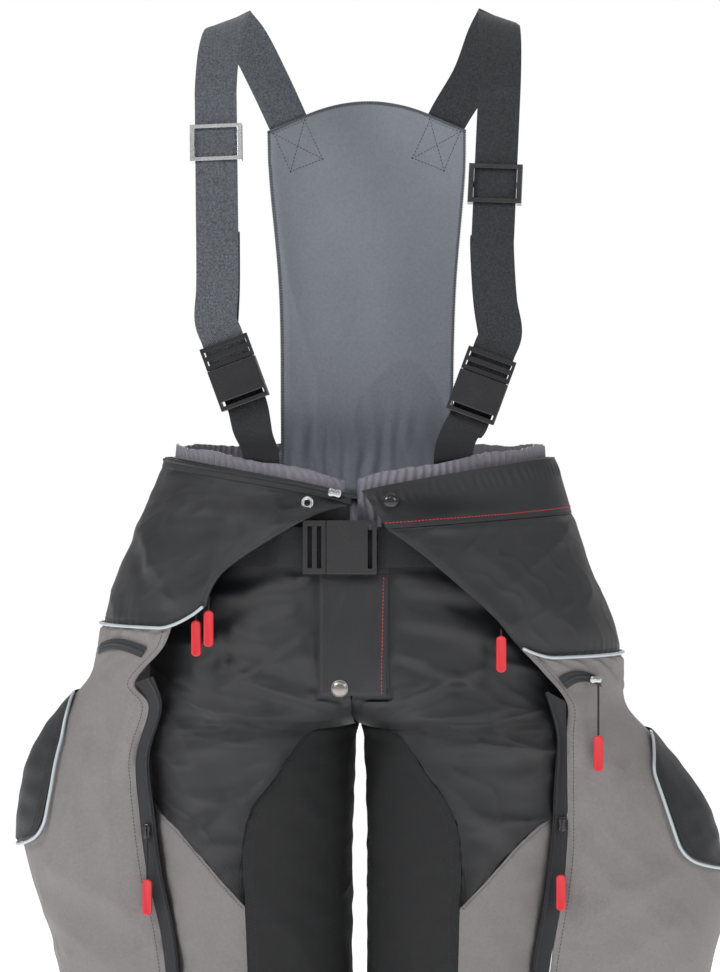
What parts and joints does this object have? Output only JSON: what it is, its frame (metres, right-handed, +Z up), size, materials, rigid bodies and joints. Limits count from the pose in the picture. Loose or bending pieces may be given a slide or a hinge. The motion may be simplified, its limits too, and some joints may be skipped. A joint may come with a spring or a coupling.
{
  "type": "bib over-trousers",
  "caption": "Padded bib over-trousers with a rear bib, elastic braces, a belt with a side-release buckle, and outer leg halves hanging unzipped.",
  "frame": {"origin": "centre of the waist opening, where the wearer's waist holds the trousers up", "axes": "+Z up, +X to the right as seen from in front, so the wearer faces -Y"},
  "size_m": [0.6669, 0.2676, 1.4386],
  "materials": {
    "nylon": "woven satin sheen",
    "reinforcement": "matt woven",
    "grey_shell": "matt woven",
    "patch": "woven satin sheen",
    "lining": "gathered satin",
    "bib": "brushed woven",
    "webbing": "elastic webbing",
    "piping": "reflective cord",
    "plastic": "moulded",
    "metal": "nickel plated",
    "red_rubber": "soft moulded"
  },
  "bodies": {
    "trousers": {"left_front_panel": "nylon", "left_seat_panel": "nylon", "left_waistband": "nylon", "left_yoke": "nylon", "left_inner_leg_panel": "reinforcement", "left_lower_leg_panel": "grey_shell", "left_yoke_piping": "piping", "left_rear_strap": "webbing", "left_front_strap": "webbing", "left_strap_tab": "webbing", "left_belt": "webbing", "left_strap_socket": "plastic", "right_front_panel": "nylon", "right_seat_panel": "nylon", "right_waistband": "nylon", "right_yoke": "nylon", "right_inner_leg_panel": "reinforcement", "right_lower_leg_panel": "grey_shell", "right_yoke_piping": "piping", "right_rear_strap": "webbing", "right_front_strap": "webbing", "right_strap_tab": "webbing", "right_belt": "webbing", "right_strap_socket": "plastic", "rear_waistband": "nylon", "fly_facing": "nylon", "elastic_waist_lining": "lining", "bib_panel": "bib", "waist_zip_tape": "patch", "waist_snap_socket": "metal", "belt_socket": "plastic", "waist_snap_cap": "plastic"},
    "left_outer": {"left_outer_leg": "grey_shell", "left_side_patch": "patch", "left_patch_piping": "piping", "left_side_zip_tape": "patch", "left_pocket_zip": "patch"},
    "right_outer": {"right_outer_leg": "grey_shell", "right_side_patch": "patch", "right_patch_piping": "piping", "right_side_zip_tape": "patch", "right_pocket_zip": "patch"},
    "left_zip_car": {"left_side_slider": "plastic"},
    "right_zip_car": {"right_side_slider": "plastic"},
    "left_zip_pull": {"left_side_pull": "red_rubber"},
    "right_zip_pull": {"right_side_pull": "red_rubber"},
    "pocket_car": {"right_pocket_slider": "metal"},
    "pocket_pull": {"right_pocket_pull": "red_rubber"},
    "hip_pull_a": {"left_hip_pull_outer": "red_rubber"},
    "hip_pull_b": {"left_hip_pull_inner": "red_rubber"},
    "hip_pull_c": {"right_hip_pull": "red_rubber"},
    "fly": {"fly_flap": "nylon", "fly_snap_cap": "metal"},
    "belt_release": {"belt_plug": "plastic"},
    "left_release": {"left_strap_plug": "plastic"},
    "right_release": {"right_strap_plug": "plastic"},
    "left_adjuster": {"left_strap_slider": "metal"},
    "right_adjuster": {"right_strap_slider": "plastic"},
    "waist_zip_car": {"waist_zip_slider": "metal"}
  },
  "joints": [
    {"name": "left_outer_lift", "type": "hinge", "parent": "trousers", "child": "left_outer", "pos_m": [-0.245, 0, -0.134], "axis": [0, 1, 0], "range_deg": [0, 30]},
    {"name": "right_outer_lift", "type": "hinge", "parent": "trousers", "child": "right_outer", "pos_m": [0.246, 0, -0.16], "axis": [0, -1, 0], "range_deg": [0, 30]},
    {"name": "left_side_zip", "type": "slide", "parent": "left_outer", "child": "left_zip_car", "axis": [-0.1113, -0.0107, 0.9937], "range_m": [-0.02, 0.02]},
    {"name": "right_side_zip", "type": "slide", "parent": "right_outer", "child": "right_zip_car", "axis": [0.0669, -0.0154, 0.9976], "range_m": [-0.02, 0.02]},
    {"name": "left_side_pull_swing", "type": "hinge", "parent": "left_zip_car", "child": "left_zip_pull", "pos_m": [-0.1897, -0.0652, -0.327], "axis": [-1, 0, 0], "range_deg": [0, 100]},
    {"name": "right_side_pull_swing", "type": "hinge", "parent": "right_zip_car", "child": "right_zip_pull", "pos_m": [0.1872, -0.0657, -0.317], "axis": [-1, 0, 0], "range_deg": [0, 100]},
    {"name": "pocket_zip", "type": "slide", "parent": "right_outer", "child": "pocket_car", "axis": [-0.6872, -0.7264, 0], "range_m": [0, 0.02]},
    {"name": "pocket_pull_swing", "type": "hinge", "parent": "pocket_car", "child": "pocket_pull", "pos_m": [0.2208, -0.0645, -0.1851], "axis": [-1, 0, 0], "range_deg": [0, 100]},
    {"name": "left_hip_pull_outer_swing", "type": "hinge", "parent": "trousers", "child": "hip_pull_a", "pos_m": [-0.1389, -0.1099, -0.112], "axis": [1, 0, 0], "range_deg": [-3, 20]},
    {"name": "left_hip_pull_inner_swing", "type": "hinge", "parent": "trousers", "child": "hip_pull_b", "pos_m": [-0.1271, -0.1154, -0.103], "axis": [1, 0, 0], "range_deg": [-3, 20]},
    {"name": "right_hip_pull_swing", "type": "hinge", "parent": "trousers", "child": "hip_pull_c", "pos_m": [0.1346, -0.1087, -0.133], "axis": [1, 0, 0], "range_deg": [-3, 20]},
    {"name": "fly_flap_open", "type": "hinge", "parent": "trousers", "child": "fly", "pos_m": [0.035, -0.1224, -0.139], "axis": [0, 0, 1], "range_deg": [0, 110]},
    {"name": "belt_buckle_release", "type": "slide", "parent": "trousers", "child": "belt_release", "axis": [-1, 0, 0], "range_m": [0, 0.02]},
    {"name": "left_brace_buckle_release", "type": "slide", "parent": "trousers", "child": "left_release", "axis": [-0.3453, 0, 0.9385], "range_m": [0, 0.017]},
    {"name": "right_brace_buckle_release", "type": "slide", "parent": "trousers", "child": "right_release", "axis": [0.3453, 0, 0.9385], "range_m": [0, 0.017]},
    {"name": "left_brace_adjust", "type": "slide", "parent": "trousers", "child": "left_adjuster", "axis": [-0.0349, 0.2094, 0.9772], "range_m": [-0.06, 0.02]},
    {"name": "right_brace_adjust", "type": "slide", "parent": "trousers", "child": "right_adjuster", "axis": [0.0349, 0.2094, 0.9772], "range_m": [-0.025, 0.06]},
    {"name": "waist_zip", "type": "slide", "parent": "trousers", "child": "waist_zip_car", "axis": [-0.9792, 0.123, 0.1613], "range_m": [0, 0.02]}
  ]
}
